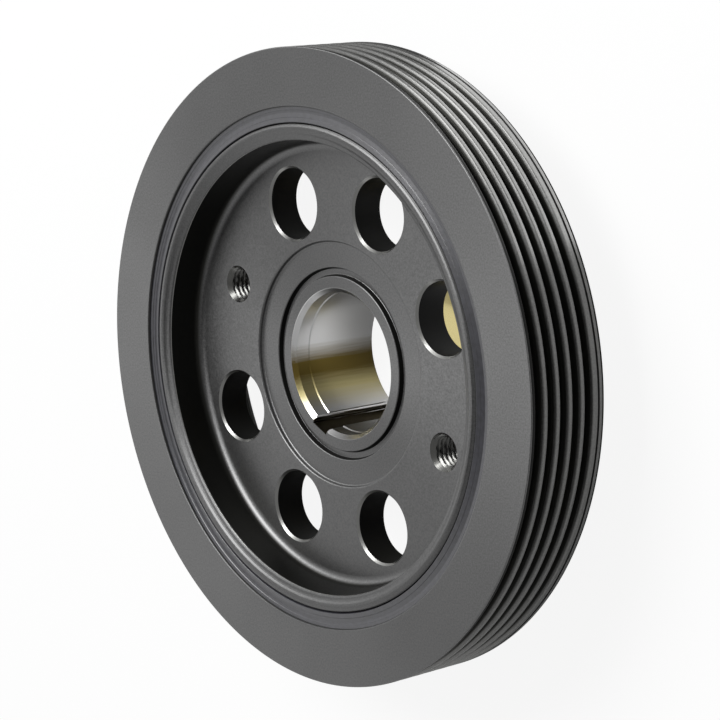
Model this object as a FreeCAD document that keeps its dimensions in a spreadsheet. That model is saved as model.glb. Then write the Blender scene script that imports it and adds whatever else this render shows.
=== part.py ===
import FreeCAD, Part
import math
import os
import Sketcher

# Harmonic balancer for the nose of a crankshaft, with a five rib belt pulley as its inertia ring.
# It comes apart as three pieces: the dished hub, the elastomer ring bonded round it, and the
# pulley ring that swings on the elastomer.
# Frame: +Z runs along the axis towards the front, and the origin is the centre of the hub's rear
# seat, so the balancer lies on its rear boss with the dish open upwards. Lengths in millimetres.

doc = FreeCAD.newDocument("harmonic_balancer")
sheet = doc.addObject("Spreadsheet::Sheet", "Sizes")

# Each size, its value and what it measures. Angles are in degrees.
SIZES = (
    ("overall_height", 34.4, "rear seat to the front face"),
    ("ring_radius", 71.5, "over the crests of the belt ribs"),
    ("ring_width", 22.0, "pulley ring along the axis, and the hub's rim with it"),
    ("ring_thickness", 13.1, "crests of the belt ribs to the elastomer"),
    ("ring_front_chamfer", 0.4, "outer front corner of the ring"),
    ("ring_mouth_chamfer", 0.6, "front and rear corners of the ring's bonded face"),
    ("ring_rear_round", 1.8, "outer rear corner of the ring"),
    ("groove_count", 5, "belt grooves"),
    ("groove_pitch", 3.56, "from one belt groove to the next"),
    ("groove_start", 2.45, "front face to the middle of the first groove"),
    ("groove_angle", 40.0, "between the two flanks of a groove"),
    ("groove_width", 2.42, "mouth of a groove between its sharp corners"),
    ("groove_depth", 2.75, "crest to root"),
    ("crest_round", 0.5, "corners of the crests"),
    ("elastomer_thickness", 3.7, "radial gap that the elastomer fills"),
    ("elastomer_hub_recess", 1.75, "front and rear faces to the elastomer at the hub"),
    ("elastomer_ring_recess", 0.7, "front and rear faces to the elastomer at the ring"),
    ("elastomer_hollow", 0.45, "how far the elastomer's end faces sink between their edges"),
    ("wave_depth", 0.6, "channel that keys the elastomer to the hub and the ring"),
    ("wave_land", 4.0, "straight stretch at each end of the channel"),
    ("rim_thickness", 3.7, "hub rim at its front edge"),
    ("rim_round", 1.4, "front corner of the hub rim beside the elastomer"),
    ("rim_dish_round", 1.9, "front corner of the hub rim beside the dish"),
    ("rim_rear_round", 0.8, "rear corners of the hub rim"),
    ("rim_rear_thickness", 4.6, "hub rim at its rear edge"),
    ("rim_rear_draft", 0.6, "how far the rear recess narrows towards the web"),
    ("dish_depth", 9.4, "front face to the web"),
    ("dish_draft", 0.8, "how far the dish narrows towards the web"),
    ("dish_fillet", 2.2, "corner between the dish wall and the web"),
    ("web_thickness", 7.8, "web between the dish and the rear recess"),
    ("rear_fillet", 2.5, "corners of the rear recess"),
    ("seat_radius", 27.8, "sunk washer seat in the middle of the web"),
    ("seat_depth", 1.0, "web to the washer seat"),
    ("seat_slope", 0.2, "how far the edge of the seat leans"),
    ("seat_round", 0.45, "top and foot of the edge of the seat"),
    ("ring_cut_radius", 21.9, "outer edge of the turned groove in the seat"),
    ("ring_cut_width", 2.05, "mouth of the turned groove in the seat"),
    ("ring_cut_depth", 1.2, "depth of the turned groove in the seat"),
    ("ring_cut_slope", 0.35, "how far each side of the turned groove leans"),
    ("ring_cut_round", 0.3, "broken edges of the turned groove in the seat"),
    ("bore_radius", 16.0, "sliding fit on the crankshaft nose"),
    ("bore_chamfer", 1.2, "front mouth of the bore"),
    ("relief_depth", 0.25, "radial depth of the relief behind the front mouth"),
    ("relief_end", 4.2, "washer seat to the end of the relief"),
    ("lead_depth", 0.6, "radial depth of the lead-in at the rear of the bore"),
    ("lead_length", 1.3, "length of the lead-in at the rear of the bore"),
    ("boss_radius", 22.0, "ground seal face of the rear boss"),
    ("boss_chamfer", 1.0, "rear corner of the boss"),
    ("key_width", 5.0, "keyway across its flat sides"),
    ("key_depth", 1.7, "wall of the bore to the floor of the keyway"),
    ("key_angle", -123.0, "direction of the keyway"),
    ("hole_inner_land", 2.1, "washer seat to the edge of a plain hole"),
    ("hole_outer_land", 4.1, "edge of a plain hole to the foot of the dish wall"),
    ("hole_chamfer", 0.5, "front edge of a plain hole"),
    ("hole_count", 8, "places on the pitch circle, plain and threaded"),
    ("hole_angle", 15.0, "direction of the first plain hole"),
    ("thread_radius", 4.0, "root of the two puller threads"),
    ("thread_chamfer", 0.6, "countersink of a puller hole"),
    ("cut_overrun", 1.0, "how far a cutting outline runs past the face that it cuts"),
)
for row, (alias, value, note) in enumerate(SIZES, 1):
    sheet.set("A%d" % row, note)
    sheet.set("B%d" % row, str(value))
    sheet.setAlias("B%d" % row, alias)
doc.recompute()


class Size:
    """A measure kept as a number and as the formula of sheet cells that the model is bound to."""

    def __init__(self, value, formula):
        self.value = value
        self.formula = formula

    def __add__(self, other):
        return Size(self.value + other.value, "(%s + %s)" % (self.formula, other.formula))

    def __sub__(self, other):
        return Size(self.value - other.value, "(%s - %s)" % (self.formula, other.formula))

    def __mul__(self, factor):
        return Size(self.value * factor.value, "(%s * %s)" % (self.formula, factor.formula))

    def half(self):
        return Size(self.value / 2, "(%s / 2)" % self.formula)

    def negative(self):
        return Size(-self.value, "(-%s)" % self.formula)

    def sine(self):
        return Size(math.sin(math.radians(self.value)), "sin(%s)" % self.formula)

    def cosine(self):
        return Size(math.cos(math.radians(self.value)), "cos(%s)" % self.formula)

    def tangent(self):
        return Size(math.tan(math.radians(self.value)), "tan(%s)" % self.formula)


def size(alias):
    return Size(float(sheet.get(alias)), "Sizes." + alias)


def bind(feature, name, measure):
    """Give a feature's property its value and tie it to the sheet."""
    setattr(feature, name, measure.value)
    feature.setExpression(name, measure.formula)


def origin_part(body, role):
    for part in body.Origin.OriginFeatures:
        if part.Role == role:
            return part
    raise ValueError("no origin feature with the role " + role)


def new_body(name):
    body = doc.addObject("PartDesign::Body", name)
    body.Label = name
    return body


def new_sketch(body, name, plane):
    sketch = body.newObject("Sketcher::SketchObject", name)
    sketch.AttachmentSupport = (origin_part(body, plane), [""])
    sketch.MapMode = "FlatFace"
    return sketch


def tie(sketch, kind, line, end, measure):
    """Hold one end of a line at a distance from the origin that the sheet gives."""
    if measure.value == 0:
        axis = -2 if kind == "DistanceX" else -1
        sketch.addConstraint(Sketcher.Constraint("PointOnObject", line, end, axis))
        return
    number = sketch.addConstraint(Sketcher.Constraint(kind, -1, 1, line, end, measure.value))
    sketch.setExpression("Constraints[%d]" % number, measure.formula)


def outline(body, name, stops, plane="XZ_Plane"):
    """Closed outline through its stops, each (radius, height).

    A stop of (radius, height, "bow") is the middle of an arc from the stop before it to the next.
    """
    sketch = new_sketch(body, name, plane)
    corners = [stop for stop in stops if len(stop) == 2]
    bows = {}
    for number, stop in enumerate(stops):
        if len(stop) == 3:
            bows[corners.index(stops[number - 1])] = stop
    points = [FreeCAD.Vector(across.value, up.value, 0) for across, up in corners]
    ends = []
    for number, here in enumerate(points):
        there = points[(number + 1) % len(points)]
        if number in bows:
            across, up, _ = bows[number]
            middle = FreeCAD.Vector(across.value, up.value, 0)
            sketch.addGeometry(Part.Arc(here, middle, there), False)
        else:
            sketch.addGeometry(Part.LineSegment(here, there), False)
        forward = (sketch.getPoint(number, 1) - here).Length < (sketch.getPoint(number, 2) - here).Length
        ends.append((1, 2) if forward else (2, 1))
    for number, (across, up) in enumerate(corners):
        before = (number - 1) % len(corners)
        joint = Sketcher.Constraint("Coincident", before, ends[before][1], number, ends[number][0])
        sketch.addConstraint(joint)
        tie(sketch, "DistanceX", number, ends[number][0], across)
        tie(sketch, "DistanceY", number, ends[number][0], up)
    for number, (across, up, _) in bows.items():
        middle = FreeCAD.Vector(across.value, up.value, 0)
        mark = sketch.addGeometry(Part.Point(middle), True)
        sketch.addConstraint(Sketcher.Constraint("PointOnObject", mark, 1, number))
        tie(sketch, "DistanceX", mark, 1, across)
        tie(sketch, "DistanceY", mark, 1, up)
    return sketch


def turn(body, name, sketch, kind="PartDesign::Revolution"):
    """Spin an outline once round the axis, adding metal or, as a Groove, cutting it."""
    feature = body.newObject(kind, name)
    feature.Profile = sketch
    feature.ReferenceAxis = (sketch, ["V_Axis"])
    feature.Angle = 360
    doc.recompute()
    return feature


def rims(feature, places):
    """Names of a feature's round edges at the given places, each (radius, height)."""
    near = 1e-4
    names = []
    for radius, height in places:
        for number, edge in enumerate(feature.Shape.Edges, 1):
            curve = edge.Curve
            if not isinstance(curve, Part.Circle):
                continue
            off_axis = math.hypot(curve.Center.x, curve.Center.y)
            if max(abs(curve.Radius - radius.value), abs(curve.Center.z - height.value), off_axis) < near:
                names.append("Edge%d" % number)
    return names


def soften(body, name, places, measure, kind="PartDesign::Fillet"):
    """Round or chamfer the body's edges at the given places."""
    base = body.Tip
    feature = body.newObject(kind, name)
    feature.Base = (base, rims(base, places))
    bind(feature, "Radius" if kind == "PartDesign::Fillet" else "Size", measure)
    doc.recompute()
    return feature


# A cut that points away from the metal takes nothing, so each one's volume is compared.
least_cut = 1.0
clear_share = 0.95


def metal_taken(body, before, least):
    """Volume that has gone from a body. Less than the least, in cubic millimetres, is a failed cut."""
    taken = before - body.Shape.Volume
    if taken < least:
        raise ValueError("%s took only %.3f mm3" % (body.Tip.Label, taken))
    return taken


# Heights along the axis, from the rear seat at 0 to the front face.
rear_seat = Size(0.0, "0")
front = size("overall_height")
rear = front - size("ring_width")
middle = rear + size("ring_width").half()
web_front = front - size("dish_depth")
web_rear = web_front - size("web_thickness")
seat = web_front - size("seat_depth")

# Radii where two pieces meet.
crest = size("ring_radius")
ring_bond = crest - size("ring_thickness")
hub_bond = ring_bond - size("elastomer_thickness")


def keyed_face(radius, first, last):
    """Stops up a bonded face, with its shallow channel bowed towards the axis."""
    low = rear + size("wave_land")
    high = front - size("wave_land")
    bow = (radius - size("wave_depth"), middle, "bow")
    return [(radius, first), (radius, low), bow, (radius, high), (radius, last)]


# Pulley ring: cast iron, turned all over, with the belt grooves cut round it.
ring = new_body("pulley_ring")
ring_stops = [(crest, front), (crest, rear)] + keyed_face(ring_bond, rear, front)
turn(ring, "ring_blank", outline(ring, "ring_outline", ring_stops))
soften(ring, "ring_front_edge", [(crest, front)], size("ring_front_chamfer"), "PartDesign::Chamfer")
mouths = [(ring_bond, front), (ring_bond, rear)]
soften(ring, "ring_mouth_edges", mouths, size("ring_mouth_chamfer"), "PartDesign::Chamfer")
soften(ring, "ring_rear_edge", [(crest, rear)], size("ring_rear_round"))

groove_middle = front - size("groove_start")
flank = size("groove_angle").half()
root = crest - size("groove_depth")
mouth_half = size("groove_width").half()
root_half = mouth_half - size("groove_depth") * flank.tangent()
past = crest + size("cut_overrun")


def groove_side(side):
    """Stops from outside the ring, round one crest corner and down the flank to the root."""
    rounding = size("crest_round")
    swing = (Size(90.0, "90") - flank).half()
    run = rounding * swing.tangent()
    edge = groove_middle + side * (mouth_half + run)
    bow_reach = crest - rounding + rounding * swing.cosine()
    bow_height = edge - side * rounding * swing.sine()
    flank_height = edge - side * (run + run * flank.sine())
    return [
        (past, edge),
        (crest, edge),
        (bow_reach, bow_height, "bow"),
        (crest - run * flank.cosine(), flank_height),
        (root, groove_middle + side * root_half),
    ]


upper_side = groove_side(Size(1.0, "1"))
lower_side = groove_side(Size(-1.0, "(-1)"))
lower_side.reverse()
groove_outline = outline(ring, "groove_outline", upper_side + lower_side)
uncut = ring.Shape.Volume
belt_groove = turn(ring, "belt_groove", groove_outline, "PartDesign::Groove")
one_groove = metal_taken(ring, uncut, least_cut)
groove_row = ring.newObject("PartDesign::LinearPattern", "belt_groove_row")
groove_row.Originals = [belt_groove]
groove_row.Direction = (origin_part(ring, "Z_Axis"), [""])
groove_row.Reversed = True
groove_row.Occurrences = int(size("groove_count").value)
groove_row.setExpression("Occurrences", size("groove_count").formula)
gaps = size("groove_count") - Size(1.0, "1")
bind(groove_row, "Length", gaps * size("groove_pitch"))
ring.Tip = groove_row
doc.recompute()
metal_taken(ring, uncut, one_groove * groove_row.Occurrences * clear_share)

# Elastomer ring: moulded rubber, bonded to both irons, a little shorter than they are.
elastomer = new_body("elastomer_ring")
hub_top = front - size("elastomer_hub_recess")
hub_foot = rear + size("elastomer_hub_recess")
ring_top = front - size("elastomer_ring_recess")
ring_foot = rear + size("elastomer_ring_recess")
gap_middle = hub_bond + size("elastomer_thickness").half()
top_bow = (gap_middle, hub_top - size("elastomer_hollow"), "bow")
foot_bow = (gap_middle, hub_foot + size("elastomer_hollow"), "bow")
outer_stops = keyed_face(ring_bond, ring_foot, ring_top)
inner_stops = keyed_face(hub_bond, hub_foot, hub_top)
inner_stops.reverse()
elastomer_stops = outer_stops + [top_bow] + inner_stops + [foot_bow]
turn(elastomer, "elastomer_body", outline(elastomer, "elastomer_outline", elastomer_stops))

# Hub: one iron casting, turned on both sides, with the bore ground to fit the crankshaft.
hub = new_body("hub")
bore = size("bore_radius")
boss = size("boss_radius")
relief = bore + size("relief_depth")
mouth = bore + size("bore_chamfer")
dish = hub_bond - size("rim_thickness")
dish_floor = dish - size("dish_draft")
rear_dish = hub_bond - size("rim_rear_thickness")
rear_dish_floor = rear_dish - size("rim_rear_draft")
seat_edge = size("seat_radius") + size("seat_slope").half()
seat_foot = size("seat_radius") - size("seat_slope").half()
cut_outer = size("ring_cut_radius")
cut_inner = cut_outer - size("ring_cut_width")
cut_floor = seat - size("ring_cut_depth")
relief_floor = seat - size("relief_end")
hub_stops = [
    (bore + size("lead_depth"), rear_seat),
    (boss, rear_seat),
    (boss, web_rear),
    (rear_dish_floor, web_rear),
    (rear_dish, rear),
]
hub_stops += keyed_face(hub_bond, rear, front)
hub_stops += [
    (dish, front),
    (dish_floor, web_front),
    (seat_edge, web_front),
    (seat_foot, seat),
    (cut_outer, seat),
    (cut_outer - size("ring_cut_slope"), cut_floor),
    (cut_inner + size("ring_cut_slope"), cut_floor),
    (cut_inner, seat),
    (mouth, seat),
    (relief, seat - size("bore_chamfer") + size("relief_depth")),
    (relief, relief_floor),
    (bore, relief_floor - size("relief_depth")),
    (bore, size("lead_length")),
]
turn(hub, "hub_blank", outline(hub, "hub_outline", hub_stops))
soften(hub, "dish_corner", [(dish_floor, web_front)], size("dish_fillet"))
soften(hub, "rear_corners", [(rear_dish_floor, web_rear), (boss, web_rear)], size("rear_fillet"))
soften(hub, "rim_front_edge", [(hub_bond, front)], size("rim_round"))
soften(hub, "rim_dish_edge", [(dish, front)], size("rim_dish_round"))
soften(hub, "rim_rear_edges", [(hub_bond, rear), (rear_dish, rear)], size("rim_rear_round"))
soften(hub, "boss_edge", [(boss, rear_seat)], size("boss_chamfer"), "PartDesign::Chamfer")
soften(hub, "seat_edges", [(seat_edge, web_front), (seat_foot, seat)], size("seat_round"))
soften(hub, "turned_groove_edges", [(cut_outer, seat), (cut_inner, seat)], size("ring_cut_round"))

# The plain holes fill the web from the washer seat to the dish wall but for a land at each side.
# All holes stand on one pitch circle, and each sketch is turned so that its hole lies on its X axis.
hole_inside = size("seat_radius") + size("hole_inner_land")
hole_outside = dish_floor - size("hole_outer_land")
hole_radius = (hole_outside - hole_inside).half()
hole_circle = (hole_outside + hole_inside).half()
spacing = Size(360 / size("hole_count").value, "(360 / %s)" % size("hole_count").formula)


def drill(name, radius, chamfer, angle, past_web):
    """One hole through the web with a countersunk front edge, as a turned cutter."""
    sketch = new_sketch(hub, name + "_place", "XY_Plane")
    sketch.AttachmentOffset = FreeCAD.Placement(
        FreeCAD.Vector(0, 0, web_front.value), FreeCAD.Rotation(FreeCAD.Vector(0, 0, 1), angle.value)
    )
    sketch.setExpression("AttachmentOffset.Base.z", web_front.formula)
    sketch.setExpression("AttachmentOffset.Rotation.Angle", angle.formula)
    centre = FreeCAD.Vector(hole_circle.value, 0, 0)
    sketch.addGeometry(Part.Circle(centre, FreeCAD.Vector(0, 0, 1), radius.value), False)
    sketch.addConstraint(Sketcher.Constraint("PointOnObject", 0, 3, -1))
    number = sketch.addConstraint(Sketcher.Constraint("DistanceX", -1, 1, 0, 3, hole_circle.value))
    sketch.setExpression("Constraints[%d]" % number, hole_circle.formula)
    number = sketch.addConstraint(Sketcher.Constraint("Radius", 0, radius.value))
    sketch.setExpression("Constraints[%d]" % number, radius.formula)
    doc.recompute()
    undrilled = hub.Shape.Volume
    hole = hub.newObject("PartDesign::Hole", name)
    hole.Profile = sketch
    hole.ThreadType = "None"
    bind(hole, "Diameter", radius + radius)
    hole.DepthType = "Dimension"
    bind(hole, "Depth", size("web_thickness") + past_web)
    hole.DrillPoint = "Flat"
    hole.HoleCutType = "Countersink"
    hole.HoleCutCustomValues = True
    bind(hole, "HoleCutDiameter", radius + radius + chamfer + chamfer)
    hole.HoleCutCountersinkAngle = 90
    doc.recompute()
    metal_taken(hub, undrilled, least_cut)
    return hole


def repeat(name, originals, count, angle):
    """Copies of cuts round the axis, over an angle that the sheet gives."""
    pattern = hub.newObject("PartDesign::PolarPattern", name)
    pattern.Originals = originals
    pattern.Axis = (origin_part(hub, "Z_Axis"), [""])
    bind(pattern, "Angle", angle)
    pattern.Occurrences = count
    before = hub.Shape.Volume
    hub.Tip = pattern
    doc.recompute()
    metal_taken(hub, before, least_cut)


overrun = size("cut_overrun")
half_turn = Size(180.0, "180")
first_angle = size("hole_angle")
three_span = spacing + spacing
for side, start in (("near", first_angle), ("far", first_angle + half_turn)):
    plain = drill("web_hole_" + side, hole_radius, size("hole_chamfer"), start, overrun)
    repeat("web_holes_" + side, [plain], 3, three_span)
    thread_angle = start + three_span + spacing
    drill("puller_hole_" + side, size("thread_radius"), size("thread_chamfer"), thread_angle, overrun)

# Keyway: broached through the bore from end to end.
key_sketch = new_sketch(hub, "key_outline", "XY_Plane")
key_turn = size("key_angle")
key_sketch.AttachmentOffset = FreeCAD.Placement(
    FreeCAD.Vector(0, 0, 0), FreeCAD.Rotation(FreeCAD.Vector(0, 0, 1), key_turn.value)
)
key_sketch.setExpression("AttachmentOffset.Rotation.Angle", key_turn.formula)
key_side = size("key_width").half()
key_floor = bore + size("key_depth")
key_stops = [
    (bore.half(), key_side.negative()),
    (key_floor, key_side.negative()),
    (key_floor, key_side),
    (bore.half(), key_side),
]
key_points = [FreeCAD.Vector(across.value, up.value, 0) for across, up in key_stops]
for number, here in enumerate(key_points):
    there = key_points[(number + 1) % len(key_points)]
    key_sketch.addGeometry(Part.LineSegment(here, there), False)
for number, (across, up) in enumerate(key_stops):
    before = (number - 1) % len(key_stops)
    key_sketch.addConstraint(Sketcher.Constraint("Coincident", before, 2, number, 1))
    tie(key_sketch, "DistanceX", number, 1, across)
    tie(key_sketch, "DistanceY", number, 1, up)
unbroached = hub.Shape.Volume
keyway = hub.newObject("PartDesign::Pocket", "keyway")
keyway.Profile = key_sketch
keyway.Type = "ThroughAll"
keyway.Reversed = True
doc.recompute()
metal_taken(hub, unbroached, least_cut)

for thing in doc.Objects:
    if "Invalid" in thing.State or "Error" in thing.State:
        raise ValueError("failed: " + thing.Label)

os.makedirs("parts", exist_ok=True)
for body in (hub, elastomer, ring):
    shape = body.Shape
    if shape.isNull() or not shape.isValid() or len(shape.Solids) != 1:
        raise ValueError("no sound solid: " + body.Label)
    shape.exportStep("parts/%s.step" % body.Label)
    print(body.Label, "volume", round(shape.Volume, 1), "mm3")
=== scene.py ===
import math

import bpy
from mathutils import Matrix, Vector


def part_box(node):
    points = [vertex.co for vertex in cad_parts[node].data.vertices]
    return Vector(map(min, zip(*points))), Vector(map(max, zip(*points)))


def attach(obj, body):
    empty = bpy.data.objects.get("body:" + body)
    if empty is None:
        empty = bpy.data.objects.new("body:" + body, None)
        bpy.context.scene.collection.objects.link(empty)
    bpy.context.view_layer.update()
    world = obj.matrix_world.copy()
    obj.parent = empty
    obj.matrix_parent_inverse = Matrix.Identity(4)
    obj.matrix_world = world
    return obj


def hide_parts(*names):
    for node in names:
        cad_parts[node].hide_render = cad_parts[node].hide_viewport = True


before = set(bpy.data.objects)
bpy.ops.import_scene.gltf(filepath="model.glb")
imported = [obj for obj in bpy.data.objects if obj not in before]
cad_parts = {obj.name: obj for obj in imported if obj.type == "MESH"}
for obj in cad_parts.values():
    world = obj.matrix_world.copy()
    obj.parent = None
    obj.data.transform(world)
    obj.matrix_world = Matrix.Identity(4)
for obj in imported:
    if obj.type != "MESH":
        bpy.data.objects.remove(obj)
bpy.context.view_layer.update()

# Pulley ring
# The inertia ring, cast iron turned all over, with five belt grooves cut round it. The lathe leaves
# fine rings on the crests, and the whole ring is then dipped in a satin grey corrosion coating.

# Sizes are in millimetres and angles in degrees; MM turns a size to metres.
MM = 0.001
ring_low, ring_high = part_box("pulley_ring")
rubber_low, rubber_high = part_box("elastomer_ring")
front = ring_high.z / MM
rear = ring_low.z / MM
crest_radius = ring_high.x / MM
bond_radius = rubber_high.x / MM
rubber_front = rubber_high.z / MM
face_round = 0.25
groove_count = 5
groove_pitch = 3.56
groove_start = 2.45
groove_half_angle = 20.0
groove_mouth = 2.42
groove_depth = 2.75
crest_front_round = 0.45
crest_rear_round = 0.75
root_round = 0.12
flange_line = front - 19.45
line_half_mouth = 0.3
line_half_floor = 0.15
line_depth = 0.2
rear_shade_height = 1.6
bond_corner = 0.25
# Faces get their finish by where their middles lie, which may be this far off a nominal size.
slack = 0.1


def colour(code):
    """Linear colour of an sRGB hex value."""
    shares = [int(code[place:place + 2], 16) / 255 for place in (1, 3, 5)]
    return [s / 12.92 if s <= 0.04045 else ((s + 0.055) / 1.055) ** 2.4 for s in shares] + [1.0]


def put(tree, kind, inputs=None, **settings):
    """Adds a node with its settings.

    inputs maps a socket's name or number to a value, a socket, or a node that gives its first output.
    """
    node = tree.nodes.new(kind)
    for name, value in settings.items():
        setattr(node, name, value)
    for name, value in (inputs or {}).items():
        if isinstance(value, bpy.types.Node):
            value = value.outputs[0]
        if isinstance(value, bpy.types.NodeSocket):
            tree.links.new(value, node.inputs[name])
        else:
            node.inputs[name].default_value = value
    return node


def placed(name, data):
    """A new object in the scene."""
    thing = bpy.data.objects.new(name, data)
    bpy.context.scene.collection.objects.link(thing)
    return thing


def eased(corners):
    """Outline through corners of (radius, height, rounding), with each corner turned as an arc.

    A short straight edge beside each arc keeps the flats flat when they are shaded smooth.
    """
    arc_step = math.radians(11)
    straight = 0.04
    outline = []
    for place, (across, up, rounding) in enumerate(corners):
        here = Vector((across, up))
        if not rounding:
            outline.append(here)
            continue
        back = (Vector(corners[place - 1][:2]) - here).normalized()
        ahead = (Vector(corners[(place + 1) % len(corners)][:2]) - here).normalized()
        half_angle = back.angle(ahead) / 2
        run = rounding / math.tan(half_angle)
        centre = here + (back + ahead).normalized() * rounding / math.sin(half_angle)
        first = here + back * run - centre
        last = here + ahead * run - centre
        sweep = first.angle_signed(last)
        steps = max(2, math.ceil(abs(sweep) / arc_step))
        outline.append(here + back * (run + straight))
        for step in range(steps + 1):
            outline.append(centre + Matrix.Rotation(-sweep * step / steps, 2) @ first)
        outline.append(here + ahead * (run + straight))
    return outline


def sockets(tree, inputs, output):
    """Gives a geometry tree its named inputs, each (name, kind), and its one output."""
    for name, kind in inputs:
        tree.interface.new_socket(name, in_out="INPUT", socket_type="NodeSocket" + kind)
    tree.interface.new_socket(output, in_out="OUTPUT", socket_type="NodeSocketGeometry")


def turning_tree():
    """Nodes that sweep an outline, drawn as radius and height in the XZ plane, once round Z."""
    tree = bpy.data.node_groups.new("turned on a lathe", "GeometryNodeTree")
    sockets(tree, (("Outline", "Geometry"), ("Steps", "Int"), ("Swing", "Float"),
                   ("Coating", "Material")), "Turned piece")
    weld = 0.001 * MM
    given = put(tree, "NodeGroupInput").outputs
    place = put(tree, "ShaderNodeSeparateXYZ", {0: put(tree, "GeometryNodeInputPosition")}).outputs
    across = put(tree, "ShaderNodeMath", {0: place["X"], 1: given["Swing"]}, operation="SUBTRACT")
    down = put(tree, "ShaderNodeMath", {0: place["Z"], 1: -1.0}, operation="MULTIPLY")
    flat = put(tree, "ShaderNodeCombineXYZ", {"X": across, "Y": down})
    laid = put(tree, "GeometryNodeSetPosition", {"Geometry": given["Outline"], "Position": flat})
    section = put(tree, "GeometryNodeMeshToCurve", {"Mesh": laid})
    path = put(tree, "GeometryNodeCurvePrimitiveCircle",
               {"Resolution": given["Steps"], "Radius": given["Swing"]})
    swept = put(tree, "GeometryNodeCurveToMesh", {"Curve": path, "Profile Curve": section})
    closed = put(tree, "GeometryNodeMergeByDistance", {"Geometry": swept, "Distance": weld})
    real = put(tree, "GeometryNodeRealizeInstances", {0: closed})
    coated = put(tree, "GeometryNodeSetMaterial", {"Geometry": real, "Material": given["Coating"]})
    put(tree, "NodeGroupOutput", {0: coated})
    return tree


def grown(name, start, tree, values):
    """A piece whose plain mesh a geometry tree makes from a start mesh and its named inputs."""
    sharp_angle = math.radians(28)
    piece = placed(name, start)
    modifier = piece.modifiers.new("shape", "NODES")
    modifier.node_group = tree
    for socket in tree.interface.items_tree:
        if socket.name in values:
            modifier[socket.identifier] = values[socket.name]
    graph = bpy.context.evaluated_depsgraph_get()
    made = bpy.data.meshes.new_from_object(piece.evaluated_get(graph), depsgraph=graph)
    piece.modifiers.clear()
    piece.data = made
    made.name = name
    made.shade_smooth()
    made.set_sharp_from_angle(angle=sharp_angle)
    return piece


def turned(name, outline, steps, material):
    """A piece of revolution from an outline in millimetres that runs clockwise round its section."""
    start = bpy.data.meshes.new(name + "_outline")
    points = [(across * MM, 0.0, up * MM) for across, up in outline]
    start.from_pydata(points, [(at, (at + 1) % len(points)) for at in range(len(points))], [])
    swing = max(across for across, up in outline) * MM
    return grown(name, start, lathe, {"Steps": steps, "Swing": swing, "Coating": material})


def empty_material(name):
    """A new material and its tree, with no node in it yet."""
    material = bpy.data.materials.new(name)
    material.use_nodes = True
    material.node_tree.nodes.clear()
    return material, material.node_tree


def tones(ramp, stops):
    """Gives a colour ramp its stops, each (place from 0 to 1, sRGB hex value)."""
    elements = ramp.color_ramp.elements
    for number, (place, code) in enumerate(stops):
        stop = elements[number] if number < 2 else elements.new(place)
        stop.position = place
        stop.color = colour(code)


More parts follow.
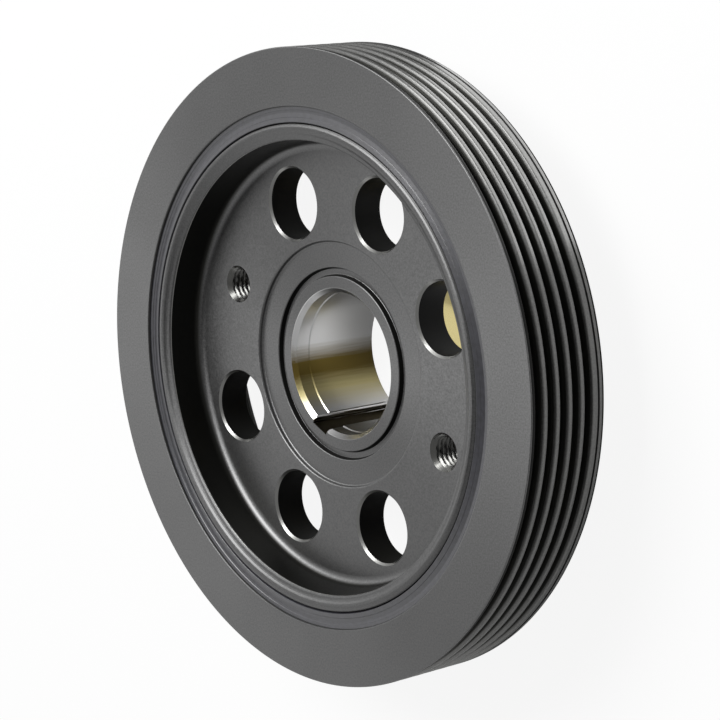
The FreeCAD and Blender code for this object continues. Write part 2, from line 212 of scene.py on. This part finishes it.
def coated_iron(name, tint, gloss, drawn, lay, lines, shaded_radii):
    """Turned cast iron under a dipped satin coating: dark grey, finely grained, with a metallic sheen.

    The coating mirrors the room dimly, so flats are an even grey and walls that face each other go
    black. Its tone lies between the two in tint, and its roughness between the two in gloss. The
    turning lines under it draw the sheen out: drawn says how far, lay by which share of a turn that
    streak is off the lines, and lines how high they stand, as a multiple of the grain. shaded_radii
    holds two radii: from the first to the second the colour goes over to a near-black painted shade,
    as it is on walls, away from the front and rear faces.
    """
    # The real grain and turning lines, 0.05 and 0.2 mm, are too fine for the render: drawn coarser.
    grain_size = 0.4 * MM
    line_size = 1.2 * MM
    cloud_size = 25 * MM
    grain_height = 0.008 * MM
    shade_start_depth = 1.0
    painted_shade_depth = 1.3
    material, tree = empty_material(name)
    spot = put(tree, "ShaderNodeTexCoord").outputs["Object"]
    grain = put(tree, "ShaderNodeTexNoise",
                {"Vector": spot, "Scale": 1 / grain_size, "Detail": 2.0, "Roughness": 0.6})
    cloud = put(tree, "ShaderNodeTexNoise", {"Vector": spot, "Scale": 1 / cloud_size, "Detail": 2.0})
    tone = put(tree, "ShaderNodeMath", {0: cloud, 1: 0.25, 2: grain}, operation="MULTIPLY_ADD")
    ramp = put(tree, "ShaderNodeValToRGB", {"Fac": tone})
    tones(ramp, zip((0.4, 0.85), tint))

    parts = put(tree, "ShaderNodeSeparateXYZ", {0: spot}).outputs
    flat = put(tree, "ShaderNodeCombineXYZ", {"X": parts["X"], "Y": parts["Y"]})
    off_axis = put(tree, "ShaderNodeVectorMath", {0: flat}, operation="LENGTH").outputs["Value"]
    in_recess = put(tree, "ShaderNodeMapRange",
                    {"Value": off_axis, "From Min": shaded_radii[0] * MM, "From Max": shaded_radii[1] * MM})
    under_front = put(tree, "ShaderNodeMapRange", {
        "Value": parts["Z"], "From Min": (front - shade_start_depth) * MM,
        "From Max": (front - painted_shade_depth) * MM})
    over_rear = put(tree, "ShaderNodeMapRange", {
        "Value": parts["Z"], "From Min": (rear + shade_start_depth) * MM,
        "From Max": (rear + painted_shade_depth) * MM})
    inside = put(tree, "ShaderNodeMath", {0: under_front, 1: over_rear}, operation="MULTIPLY")
    painted_shade = put(tree, "ShaderNodeMath", {0: inside, 1: in_recess}, operation="MULTIPLY")
    # Painted shade: past the mask the colour goes over to near-black, in place of the shade on walls
    # and in recesses.
    paint = put(tree, "ShaderNodeMix", {0: painted_shade, 6: ramp, 7: colour("#2c2c2a")}, data_type="RGBA")

    sheen = put(tree, "ShaderNodeMapRange", {
        "Value": grain, "From Min": 0.3, "From Max": 0.7, "To Min": gloss[0], "To Max": gloss[1]})
    section = put(tree, "ShaderNodeCombineXYZ", {"X": off_axis, "Y": parts["Z"]})
    rings = put(tree, "ShaderNodeTexNoise",
                {"Vector": section, "Scale": 1 / line_size, "Detail": 2.0})
    relief = put(tree, "ShaderNodeMath", {0: rings, 1: lines, 2: grain}, operation="MULTIPLY_ADD")
    bump = put(tree, "ShaderNodeBump",
               {"Height": relief, "Strength": 0.3, "Distance": grain_height})
    along_lines = put(tree, "ShaderNodeTangent", direction_type="RADIAL", axis="Z")
    surface = put(tree, "ShaderNodeBsdfPrincipled", {
        "Base Color": paint.outputs[2], "Roughness": sheen, "Metallic": 1.0, "Anisotropic": drawn,
        "Anisotropic Rotation": lay, "Tangent": along_lines, "Normal": bump})
    put(tree, "ShaderNodeOutputMaterial", {"Surface": surface})
    return material


def even_finish(name, code, roughness, metallic, level):
    """A finish for faces too narrow or too dark to show grain.

    level is how strongly it mirrors where it isn't metal: 0 leaves it dull even at a low angle.
    """
    material, tree = empty_material(name)
    surface = put(tree, "ShaderNodeBsdfPrincipled", {
        "Base Color": colour(code), "Roughness": roughness, "Metallic": metallic,
        "Specular IOR Level": level})
    put(tree, "ShaderNodeOutputMaterial", {"Surface": surface})
    return material


def with_finish(piece, finish):
    """Gives a piece one more material and returns that slot's number for its faces."""
    piece.data.materials.append(finish)
    return len(piece.data.materials) - 1


lathe = turning_tree()
# Each coating is painted near-black past its second radius: painted shade, for the ring down its bore
# wall.
ring_coating = coated_iron(
    "satin dip coating on turned iron", tint=("#606060", "#747474"), gloss=(0.40, 0.48),
    drawn=0.5, lay=0.4, lines=0.0, shaded_radii=(bond_radius - 1.1, bond_radius - 1.0))
# On the ribs the coating follows the lathe's rings, so the crests show fine bright and dull lines,
# and deep down the flanks it is painted near-black: painted shade.
rib_coating = coated_iron(
    "coating drawn thin over the ribs", tint=("#626261", "#757574"), gloss=(0.36, 0.44),
    drawn=0.6, lay=0.25, lines=60.0, shaded_radii=(crest_radius - 0.4, crest_radius - 0.75))
# The rest are near-black painted shade: in grooves and holes, on the rear corner and by the bond.
painted_shade_coating = even_finish("near-black painted shade", "#141413", 0.5, 0.0, 0.1)
rear_shade_coating = even_finish("painted shade on the rear corner", "#1e1e1d", 0.8, 0.0, 0.0)
bond_shade_coating = even_finish("painted shade in the bond's corner", "#1c1c1b", 0.3, 0.0, 0.5)
root_half = groove_mouth / 2 - groove_depth * math.tan(math.radians(groove_half_angle))
ring_corners = [
    (bond_radius, rear, 0.6),
    (bond_radius, front, 0.45),
    (crest_radius, front, face_round),
]
for number in range(groove_count):
    groove_height = front - groove_start - number * groove_pitch
    for side, crest_round in ((1, crest_rear_round), (-1, crest_front_round)):
        mouth_corner = (crest_radius, groove_height + side * groove_mouth / 2, crest_round)
        root_corner = (crest_radius - groove_depth, groove_height + side * root_half, root_round)
        ring_corners += [mouth_corner, root_corner] if side == 1 else [root_corner, mouth_corner]
ring_corners += [
    (crest_radius, flange_line + line_half_mouth, 0),
    (crest_radius - line_depth, flange_line + line_half_floor, 0),
    (crest_radius - line_depth, flange_line - line_half_floor, 0),
    (crest_radius, flange_line - line_half_mouth, 0),
    (crest_radius, rear, 1.8),
]
pulley = turned("belt_pulley", eased(ring_corners), 360, ring_coating)
rib_slot = with_finish(pulley, rib_coating)
groove_slot = with_finish(pulley, painted_shade_coating)
rear_slot = with_finish(pulley, rear_shade_coating)
corner_slot = with_finish(pulley, bond_shade_coating)
first_rib = front - groove_start + groove_mouth / 2
for face in pulley.data.polygons:
    here = face.center / MM
    reach = here.xy.length
    if reach > crest_radius - groove_depth - slack and here.z < front - face_round:
        # Ahead of the first rib and in the flange's line the near-black finish goes on: painted shade
        # in the line, and a darker front land.
        on_rib = here.z < first_rib and abs(here.z - flange_line) > line_half_mouth
        face.material_index = rib_slot if on_rib else groove_slot
        # The rear corner is painted near-black where it turns from the light: painted shade.
        if here.z <= rear + rear_shade_height:
            face.material_index = rear_slot
    # The ring's mouth beside the rubber is painted near-black: painted shade in the crease.
    elif reach < bond_radius + bond_corner and here.z > rubber_front and face.normal.z < 0.95:
        face.material_index = corner_slot
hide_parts("pulley_ring")
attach(pulley, "root")

# Elastomer ring
# Black rubber moulded and bonded between the two irons, which carries the pulley ring. Its end
# faces slope between their edges, with two fine steps left by the halves of the mould.
hub_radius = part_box("hub")[1].x / MM
rubber_rear = rubber_low.z / MM


def moulded_rubber(name):
    """Black rubber from a smooth steel mould, with a thin bloom on it.

    It is dark with a faint lilac cast, a little uneven, and mirrors the room most at a low angle.
    """
    bloom_size = 1.2 * MM
    bloom_height = 0.05 * MM
    material, tree = empty_material(name)
    spot = put(tree, "ShaderNodeTexCoord").outputs["Object"]
    bloom = put(tree, "ShaderNodeTexNoise", {"Vector": spot, "Scale": 1 / bloom_size, "Detail": 4.0})
    ramp = put(tree, "ShaderNodeValToRGB", {"Fac": bloom})
    tones(ramp, ((0.35, "#222226"), (0.7, "#303036")))
    bump = put(tree, "ShaderNodeBump", {"Height": bloom, "Strength": 0.4, "Distance": bloom_height})
    surface = put(tree, "ShaderNodeBsdfPrincipled", {
        "Base Color": ramp, "Roughness": 0.33, "Specular IOR Level": 1.0, "Normal": bump})
    put(tree, "ShaderNodeOutputMaterial", {"Surface": surface})
    return material


# Each end face from the hub outwards: the way across, the way in from the solid's end, the rounding.
end_face = [
    (0.0, 0.4, 0),
    (0.3, -0.4, 0.15),
    (1.3, -0.15, 0.05),
    (1.4, -0.05, 0.05),
    (2.4, 0.2, 0.3),
    (2.9, 0.1, 0.1),
    (3.0, 0.0, 0.05),
    (3.7, -0.1, 0),
]
rubber_corners = [(hub_radius + across, rubber_front - way_in, rounding)
                  for across, way_in, rounding in end_face]
rubber_corners += [(hub_radius + across, rubber_rear + way_in, rounding)
                   for across, way_in, rounding in reversed(end_face)]
rubber = turned("rubber_ring", eased(rubber_corners), 256, moulded_rubber("moulded rubber"))
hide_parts("elastomer_ring")
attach(rubber, "root")

# Hub
# One iron casting, turned front and rear and drilled through its web: six plain holes and two puller
# holes tapped M8. It is coated like the ring, with painted highlights on its edges and painted
# shade in its holes, and the bore, the keyway and the boss are machined bare. The bore's
# reflections are painted on in bands, and the keyway's shade with them.
web_front = 25.0
web_rear = 17.2
seat = 24.0
seat_radius = 27.8
rim_cone_width = 2.3
rim_cone_depth = 1.15
rim_depth = 1.6
dish_radius = 51.0
dish_floor_radius = 50.2
dish_edge_half = 0.3
dish_edge_depth = 1.5
rear_dish_radius = 50.1
rear_floor_radius = 49.5
rear_fillet = 2.5
cut_radius = 21.9
cut_width = 2.05
cut_floor = seat - 1.2
cut_slope = 0.35
cut_round = 0.25
bore_radius = 16.0
bore_sink_width = 0.6
bore_sink_depth = 1.3
relief_radius = 16.25
relief_top = seat - 4.2
mouth_radius = 17.2
bare_radius = 17.9
boss_radius = 22.0
boss_chamfer = 1.0
boss_top = web_rear - rear_fillet
hole_circle = 38.0
hole_radius = 8.1
hole_chamfer = 0.5
hole_places = 8
first_hole = 15.0
tapped_every = 4
thread_root = 4.0
thread_crest = 3.32
thread_pitch = 1.25
thread_chamfer = 0.35
key_half = 2.5
key_floor = 17.7
key_mouth = bore_radius + 0.1
key_angle = -123.0
key_edge = 0.3
cutter_clear = 1.0


def bare_iron(name):
    """Honed iron left bare, with its reflections painted on in bands along the bore, by compass angle.

    Light bands are painted highlights, and the grey, straw and brown bands painted reflections. The
    broached keyway is painted nearly black: painted shade.
    """
    bright_reflection = "#dcdcdc"
    straw_reflection = "#d0c490"
    brown_reflection = "#706030"
    keyway_shade = "#302810"
    dull = "#808080"
    key_middle = key_angle % 360
    key_spread = 8.4
    # Painted reflections by compass angle, with the keyway's band as painted shade.
    bands = (
        (90, dull), (135, bright_reflection), (165, bright_reflection), (180, brown_reflection), (190, brown_reflection), (205, straw_reflection),
        (225, bright_reflection), (key_middle - key_spread, bright_reflection), (key_middle - key_spread + 0.2, keyway_shade),
        (key_middle + key_spread, keyway_shade), (key_middle + key_spread + 0.2, dull),
    )
    # Real honing marks lie a few hundredths of a millimetre apart, too fine for the render.
    mark_width = 0.5 * MM
    mark_length = 14 * MM
    mark_height = 0.01 * MM
    waver_share = 0.02
    material, tree = empty_material(name)
    spot = put(tree, "ShaderNodeTexCoord").outputs["Object"]
    parts = put(tree, "ShaderNodeSeparateXYZ", {0: spot}).outputs
    back_x = put(tree, "ShaderNodeMath", {0: parts["X"], 1: -1.0}, operation="MULTIPLY")
    back_y = put(tree, "ShaderNodeMath", {0: parts["Y"], 1: -1.0}, operation="MULTIPLY")
    off_back = put(tree, "ShaderNodeMath", {0: back_y, 1: back_x}, operation="ARCTAN2")
    bearing = put(tree, "ShaderNodeMapRange", {
        "Value": off_back, "From Min": -math.pi, "From Max": math.pi, "To Min": 0.0, "To Max": 1.0})
    honing = put(tree, "ShaderNodeVectorMath",
                 {0: spot, 1: (1 / mark_width, 1 / mark_width, 1 / mark_length)}, operation="MULTIPLY")
    marks = put(tree, "ShaderNodeTexNoise", {"Vector": honing, "Scale": 1.0, "Detail": 3.0})
    waver = put(tree, "ShaderNodeMath", {0: marks, 1: 0.5}, operation="SUBTRACT")
    place = put(tree, "ShaderNodeMath", {0: waver, 1: waver_share, 2: bearing},
                operation="MULTIPLY_ADD")
    ramp = put(tree, "ShaderNodeValToRGB", {"Fac": place})
    tones(ramp, [(angle / 360, code) for angle, code in bands])
    bump = put(tree, "ShaderNodeBump", {"Height": marks, "Strength": 0.2, "Distance": mark_height})
    surface = put(tree, "ShaderNodeBsdfPrincipled",
                  {"Base Color": ramp, "Roughness": 0.3, "Metallic": 1.0, "Normal": bump})
    put(tree, "ShaderNodeOutputMaterial", {"Surface": surface})
    return material


def drilling_tree():
    """Nodes that cut the plain and the tapped holes, on one pitch circle, and the keyway."""
    tree = bpy.data.node_groups.new("drilled and broached", "GeometryNodeTree")
    sockets(tree, (
        ("Blank", "Geometry"), ("Drill", "Object"), ("Countersink", "Object"), ("Broach", "Object"),
        ("Places", "Int"), ("Tapped every", "Int"), ("Hole circle", "Float"),
        ("First angle", "Float"), ("Thread root", "Float"), ("Thread crest", "Float"),
        ("Thread pitch", "Float"), ("Tap foot", "Float"), ("Tap length", "Float"),
        ("Bare radius", "Float"), ("Boss radius", "Float"), ("Boss top", "Float"),
        ("Bare", "Material")), "Hub")
    given = put(tree, "NodeGroupInput").outputs

    # The holes stand on a circle of points, and every so many of them is a tapped one.
    ring = put(tree, "GeometryNodeMeshCircle",
               {"Vertices": given["Places"], "Radius": given["Hole circle"]})
    turn = put(tree, "ShaderNodeCombineXYZ", {"Z": given["First angle"]})
    places = put(tree, "GeometryNodeTransform", {"Geometry": ring, "Rotation": turn})
    number = put(tree, "ShaderNodeMath", {0: put(tree, "GeometryNodeInputIndex"), 1: 1.0},
                 operation="ADD")
    left_over = put(tree, "ShaderNodeMath", {0: number, 1: given["Tapped every"]},
                    operation="MODULO")
    tapped = put(tree, "FunctionNodeCompare", {"A": left_over, "B": 0.5}, operation="LESS_THAN")
    plain = put(tree, "FunctionNodeBooleanMath", {0: tapped}, operation="NOT")

    # The tap is a rod drawn in to the thread's crest along a helix, with narrow flats on both.
    spot = put(tree, "GeometryNodeInputPosition")
    parts = put(tree, "ShaderNodeSeparateXYZ", {0: spot}).outputs
    rod = put(tree, "GeometryNodeMeshCylinder", {
        "Vertices": 48, "Side Segments": 90, "Radius": given["Thread root"],
        "Depth": given["Tap length"]})
    bearing = put(tree, "ShaderNodeMath", {0: parts["Y"], 1: parts["X"]}, operation="ARCTAN2")
    turns = put(tree, "ShaderNodeMath", {0: bearing, 1: math.tau}, operation="DIVIDE")
    lift = put(tree, "ShaderNodeMath", {0: parts["Z"], 1: given["Thread pitch"]}, operation="DIVIDE")
    phase = put(tree, "ShaderNodeMath", {0: lift, 1: turns}, operation="SUBTRACT")
    flank = put(tree, "ShaderNodeMath", {0: phase, 1: 0.5}, operation="PINGPONG")
    share = put(tree, "ShaderNodeMapRange", {
        "Value": flank, "From Min": 0.06, "From Max": 0.44,
        "To Min": given["Thread crest"], "To Max": given["Thread root"]})
    size = put(tree, "ShaderNodeMath", {0: share, 1: given["Thread root"]}, operation="DIVIDE")
    scale = put(tree, "ShaderNodeCombineXYZ", {"X": size, "Y": size, "Z": 1.0})
    ridged = put(tree, "ShaderNodeVectorMath", {0: spot, 1: scale}, operation="MULTIPLY")
    raised = put(tree, "ShaderNodeCombineXYZ", {"Z": given["Tap foot"]})
    tap = put(tree, "GeometryNodeSetPosition",
              {"Geometry": rod, "Position": ridged, "Offset": raised})

    drill_bit, sink_bit, key_bit = [
        put(tree, "GeometryNodeObjectInfo", {"Object": given[tool]}).outputs["Geometry"]
        for tool in ("Drill", "Countersink", "Broach")]
    bits = [put(tree, "GeometryNodeInstanceOnPoints",
                {"Points": places, "Selection": where, "Instance": bit})
            for bit, where in ((drill_bit, plain), (sink_bit, tapped), (tap, tapped))]
    cut = given["Blank"]
    for bit in bits + [key_bit]:
        solid = put(tree, "GeometryNodeRealizeInstances", {0: bit})
        cut = put(tree, "GeometryNodeMeshBoolean", {"Mesh 1": cut, "Mesh 2": solid},
                  operation="DIFFERENCE", solver="EXACT")

    flat = put(tree, "ShaderNodeCombineXYZ", {"X": parts["X"], "Y": parts["Y"]})
    off_axis = put(tree, "ShaderNodeVectorMath", {0: flat}, operation="LENGTH").outputs["Value"]
    in_bore = put(tree, "FunctionNodeCompare", {"A": off_axis, "B": given["Bare radius"]},
                  operation="LESS_THAN")
    in_boss = put(tree, "FunctionNodeCompare", {"A": off_axis, "B": given["Boss radius"]},
                  operation="LESS_EQUAL")
    below = put(tree, "FunctionNodeCompare", {"A": parts["Z"], "B": given["Boss top"]},
                operation="LESS_THAN")
    on_boss = put(tree, "FunctionNodeBooleanMath", {0: in_boss, 1: below}, operation="AND")
    bare = put(tree, "FunctionNodeBooleanMath", {0: in_bore, 1: on_boss}, operation="OR")
    real = put(tree, "GeometryNodeRealizeInstances", {0: cut})
    done = put(tree, "GeometryNodeSetMaterial",
               {"Geometry": real, "Selection": bare, "Material": given["Bare"]})
    put(tree, "NodeGroupOutput", {0: done})
    return tree


# The hub's coatings are painted near-black down the dish's wall: painted shade.
dish_wall = (dish_floor_radius - 0.7, dish_floor_radius - 0.1)
hub_coating = coated_iron(
    "satin dip coating on cast iron", tint=("#606060", "#747474"), gloss=(0.38, 0.46),
    drawn=0.5, lay=0.4, lines=0.0, shaded_radii=dish_wall)
# The rim's coarse turning lines stand through the coating and break its light into fine rings.
rim_coating = coated_iron(
    "coating over open turning lines", tint=("#585858", "#6a6a6a"), gloss=(0.40, 0.48),
    drawn=0.5, lay=0.4, lines=200.0, shaded_radii=dish_wall)
# Edges get a brighter colour that paints their highlight. Cut threads glint through the thin coating,
# and the turned boss is oily and warm.
edge_highlight_coating = even_finish("painted highlight on an edge", "#8e8e8c", 0.3, 1.0, 0.5)
boss_finish = even_finish("boss turned bright", "#cfc28c", 0.25, 1.0, 0.5)
thread_finish = even_finish("coating thin over cut thread", "#646462", 0.26, 1.0, 0.5)
hub_corners = [
    (bore_radius + bore_sink_width, 0.0, 0.1),
    (bore_radius, bore_sink_depth, 0),
    (bore_radius, relief_top - (relief_radius - bore_radius), 0),
    (relief_radius, relief_top, 0),
    (relief_radius, seat - (mouth_radius - relief_radius), 0),
    (mouth_radius, seat, 0.15),
    (cut_radius - cut_width, seat, cut_round),
    (cut_radius - cut_width + cut_slope, cut_floor, 0.2),
    (cut_radius - cut_slope, cut_floor, 0.2),
    (cut_radius, seat, cut_round),
    (seat_radius - 0.1, seat, 0.45),
    (seat_radius + 0.1, web_front, 0.45),
    (dish_floor_radius, web_front, 2.2),
    (dish_radius, front - rim_cone_depth, 0.3),
    (dish_radius + rim_cone_width, front, 0.6),
    (hub_radius, front, 1.1),
    (hub_radius, rear, 0.8),
    (rear_dish_radius, rear, 0.8),
    (rear_floor_radius, web_rear, rear_fillet),
    (boss_radius, web_rear, rear_fillet),
    (boss_radius, boss_chamfer, 0.2),
    (boss_radius - boss_chamfer, 0.0, 0.2),
]
blank = turned("hub_blank", eased(hub_corners), 288, hub_coating)

drill_outline = [
    (0, web_rear - cutter_clear),
    (0, web_front + cutter_clear),
    (hole_radius + hole_chamfer + cutter_clear, web_front + cutter_clear),
    (hole_radius, web_front - hole_chamfer),
    (hole_radius, web_rear - cutter_clear),
]
drill = turned("drill", drill_outline, 96, hub_coating)
sink_reach = thread_root + thread_chamfer
sink_outline = [
    (0, web_front - sink_reach),
    (0, web_front + cutter_clear),
    (sink_reach + cutter_clear, web_front + cutter_clear),
]
countersink = turned("countersink", sink_outline, 64, hub_coating)

key_side = [
    (key_floor, key_half),
    (key_mouth + key_edge, key_half),
    (key_mouth, key_half + key_edge),
    (bore_radius / 2, key_half + key_edge),
]
key_path = [(across, -side) for across, side in reversed(key_side)] + key_side
key_turn = Matrix.Rotation(math.radians(key_angle), 3, "Z")
key_points = [key_turn @ Vector((across, side, level)) * MM
              for level in (-cutter_clear, seat + cutter_clear) for across, side in key_path]
key_count = len(key_path)
key_faces = [list(reversed(range(key_count))), list(range(key_count, 2 * key_count))]
for at in range(key_count):
    after = (at + 1) % key_count
    key_faces.append([at, after, after + key_count, at + key_count])
broach_mesh = bpy.data.meshes.new("broach")
broach_mesh.from_pydata(key_points, [], key_faces)
broach_mesh.materials.append(hub_coating)
broach = placed("broach", broach_mesh)

hub = grown("hub_casting", blank.data, drilling_tree(), {
    "Drill": drill, "Countersink": countersink, "Broach": broach,
    "Places": hole_places, "Tapped every": tapped_every,
    "Hole circle": hole_circle * MM, "First angle": math.radians(first_hole),
    "Thread root": thread_root * MM, "Thread crest": thread_crest * MM,
    "Thread pitch": thread_pitch * MM, "Tap foot": (web_front + web_rear) / 2 * MM,
    "Tap length": (web_front - web_rear + 2 * cutter_clear) * MM,
    "Bare radius": bare_radius * MM, "Boss radius": (boss_radius + 0.01) * MM,
    "Boss top": boss_top * MM, "Bare": bare_iron("bare iron with painted reflections"),
})
for tool in (blank, drill, countersink, broach):
    bpy.data.objects.remove(tool)

hole_centres = []
tapped_centres = []
for place in range(hole_places):
    bearing = math.radians(first_hole + 360 / hole_places * place)
    centre = Vector((math.cos(bearing), math.sin(bearing))) * hole_circle
    (hole_centres if (place + 1) % tapped_every else tapped_centres).append(centre)
dark_slot = with_finish(hub, painted_shade_coating)
boss_slot = with_finish(hub, boss_finish)
rim_slot = with_finish(hub, rim_coating)
edge_highlight_slot = with_finish(hub, edge_highlight_coating)
thread_slot = with_finish(hub, thread_finish)
# lean is 0 on an upright wall, 1 on a flat that faces the front and about 0.7 on a chamfer.
for face in hub.data.polygons:
    here = face.center / MM
    reach = here.xy.length
    lean = face.normal.z
    off_hole = off_tapped = math.inf
    if web_rear < here.z < web_front:
        off_hole = min((here.xy - centre).length for centre in hole_centres)
        off_tapped = min((here.xy - centre).length for centre in tapped_centres)
    in_hole = off_hole < hole_radius + slack and abs(lean) < 0.2
    in_cut = cut_radius - cut_width - slack < reach < cut_radius + slack \
        and cut_floor < here.z < seat - cut_round and abs(lean) < 0.8
    # Hole walls and the cut's walls take the near-black finish: painted shade.
    if in_hole or in_cut:
        face.material_index = dark_slot
    elif here.z < boss_top - slack and -boss_chamfer - slack < reach - boss_radius < slack:
        face.material_index = boss_slot
    # The dish's edge and the holes' chamfers take the brighter finish: a painted highlight.
    elif here.z > front - dish_edge_depth and abs(reach - dish_radius) < dish_edge_half \
            and lean < 0.72:
        face.material_index = edge_highlight_slot
    elif here.z > front - rim_depth and reach > dish_radius - dish_edge_half:
        face.material_index = rim_slot
    elif hole_radius < off_hole < hole_radius + hole_chamfer and 0.6 < lean < 0.8 \
            and here.z > web_front - hole_chamfer:
        face.material_index = edge_highlight_slot
    elif off_tapped < sink_reach + 0.02 and abs(lean) < 0.9:
        face.material_index = thread_slot
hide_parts("hub")
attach(hub, "root")

# Studio
# A white table before a white backdrop, under one broad soft lamp overhead; the table keeps the
# object's shadow. Plain sheets that only reflections see set what the metal mirrors: dim behind the
# camera and above, light beside the ribs and behind the boss.
floor_half = 4.0
seen_white = 0.9
mirrored_white = 0.1
room_light = 0.25
sheet_lift = 0.0005


def sheet(name, shape, material):
    """A plain piece of the studio from its points and faces."""
    points, faces = shape
    mesh = bpy.data.meshes.new(name)
    mesh.from_pydata(points, [], faces)
    mesh.materials.append(material)
    piece = placed(name, mesh)
    return piece


def rectangle(left, right, near, far, level):
    """Points and faces of a level rectangle."""
    return [(left, near, level), (right, near, level), (right, far, level), (left, far, level)], \
        [(0, 1, 2, 3)]


def white_share(tree, direct, mirrored):
    """How much plain white a ray sees: direct for camera and transmitted rays, mirrored for glossy."""
    path = put(tree, "ShaderNodeLightPath").outputs
    straight = put(tree, "ShaderNodeMath",
                   {0: path["Is Camera Ray"], 1: path["Is Transmission Ray"]}, operation="MAXIMUM")
    share = put(tree, "ShaderNodeMath", {0: straight, 1: direct}, operation="MULTIPLY")
    return put(tree, "ShaderNodeMath", {0: path["Is Glossy Ray"], 1: mirrored, 2: share},
               operation="MULTIPLY_ADD")


paper, paper_tree = empty_material("white paper")
matt = put(paper_tree, "ShaderNodeBsdfDiffuse", {"Color": colour("#e8e8e8")})
glow = put(paper_tree, "ShaderNodeEmission", {"Color": colour("#ffffff"), "Strength": 1.0})
mixed = put(paper_tree, "ShaderNodeMixShader",
            {0: white_share(paper_tree, seen_white, mirrored_white), 1: matt, 2: glow})
put(paper_tree, "ShaderNodeOutputMaterial", {"Surface": mixed})
sheet("studio_floor", rectangle(-floor_half, floor_half, -floor_half, floor_half, 0), paper)

world = bpy.data.worlds.new("white room")
bpy.context.scene.world = world
world.use_nodes = True
sky_tree = world.node_tree
sky_tree.nodes.clear()
strength = put(sky_tree, "ShaderNodeMapRange", {
    "Value": white_share(sky_tree, 1.0, 1.0), "From Min": 0.0, "From Max": 1.0,
    "To Min": room_light, "To Max": 1.0})
sky = put(sky_tree, "ShaderNodeBackground", {"Color": colour("#ffffff"), "Strength": strength})
put(sky_tree, "ShaderNodeOutputWorld", {"Surface": sky})


def seen_in_metal(name, shape, radiance):
    """A sheet of the studio that only reflections see, at an even radiance."""
    cloth, tree = empty_material(name)
    even = put(tree, "ShaderNodeEmission", {"Color": colour("#ffffff"), "Strength": radiance})
    put(tree, "ShaderNodeOutputMaterial", {"Surface": even})
    piece = sheet(name, shape, cloth)
    piece.visible_camera = False
    piece.visible_shadow = False
    piece.visible_diffuse = False


def around(reach, bearing, level):
    """The point at a distance from the origin, by compass angle and height angle in degrees."""
    bearing, level = math.radians(bearing), math.radians(level)
    return (reach * math.cos(bearing) * math.cos(level), reach * math.sin(bearing) * math.cos(level),
            reach * math.sin(level))


def dome(reach, bearings, levels):
    """Points and faces of a piece of a dome, between compass angles and between height angles."""
    folds = 16
    wide = folds + 1
    points = [around(reach, bearings[0] + (bearings[1] - bearings[0]) * fold / folds,
                     levels[0] + (levels[1] - levels[0]) * row / folds)
              for row in range(wide) for fold in range(wide)]
    faces = [(row * wide + at, row * wide + at + 1, (row + 1) * wide + at + 1, (row + 1) * wide + at)
             for row in range(folds) for at in range(folds)]
    return points, faces


def floor_strip(start, sweep):
    """Points and faces of a curved strip on the table round the object, between compass angles."""
    sides = 12
    inner, outer = 0.064, 0.16
    raised = Vector((0, 0, sheet_lift))
    points = [Vector(around(reach, start + sweep * at / sides, 0)) + raised
              for reach in (inner, outer) for at in range(sides + 1)]
    return points, [(at, at + sides + 1, at + sides + 2, at + 1) for at in range(sides)]


seen_in_metal("studio_curtain", dome(1.6, (-110, 100), (9, 58)), 0.45)
seen_in_metal("studio_canopy", dome(1.65, (-180, 180), (58, 89)), 0.03)
seen_in_metal("studio_strip", floor_strip(22, 52), 3.0)
seen_in_metal("studio_shade", floor_strip(78, 92), 0.2)
seen_in_metal("studio_card", rectangle(0.023, 0.062, -0.01, 0.03, sheet_lift), 1.0)

middle = Vector((0, 0, front * MM / 2))
lamp = bpy.data.lights.new("top_softbox", "AREA")
lamp.shape = "SQUARE"
lamp.size = 0.72
lamp.energy = 15.6
softbox = placed("top_softbox", lamp)
softbox.location = (-0.09, 0.66, 0.88)
softbox.rotation_euler = (middle - softbox.location).to_track_quat("-Z", "Y").to_euler()

lens = bpy.data.cameras.new("camera")
lens.lens = 125.8
lens.sensor_width = 36.0
camera = placed("camera", lens)
ahead = Vector((-0.76213, -0.08457, -0.64188)).normalized()
above = Vector((0.0, 0.99143, -0.13062))
right = ahead.cross(above).normalized()
above = right.cross(ahead)
turn = Matrix((right, above, -ahead)).transposed()
camera.matrix_world = Matrix.Translation((0.4339, 0.0483, 0.3835)) @ turn.to_4x4()
bpy.context.scene.camera = camera
bpy.context.scene.view_settings.view_transform = "Standard"
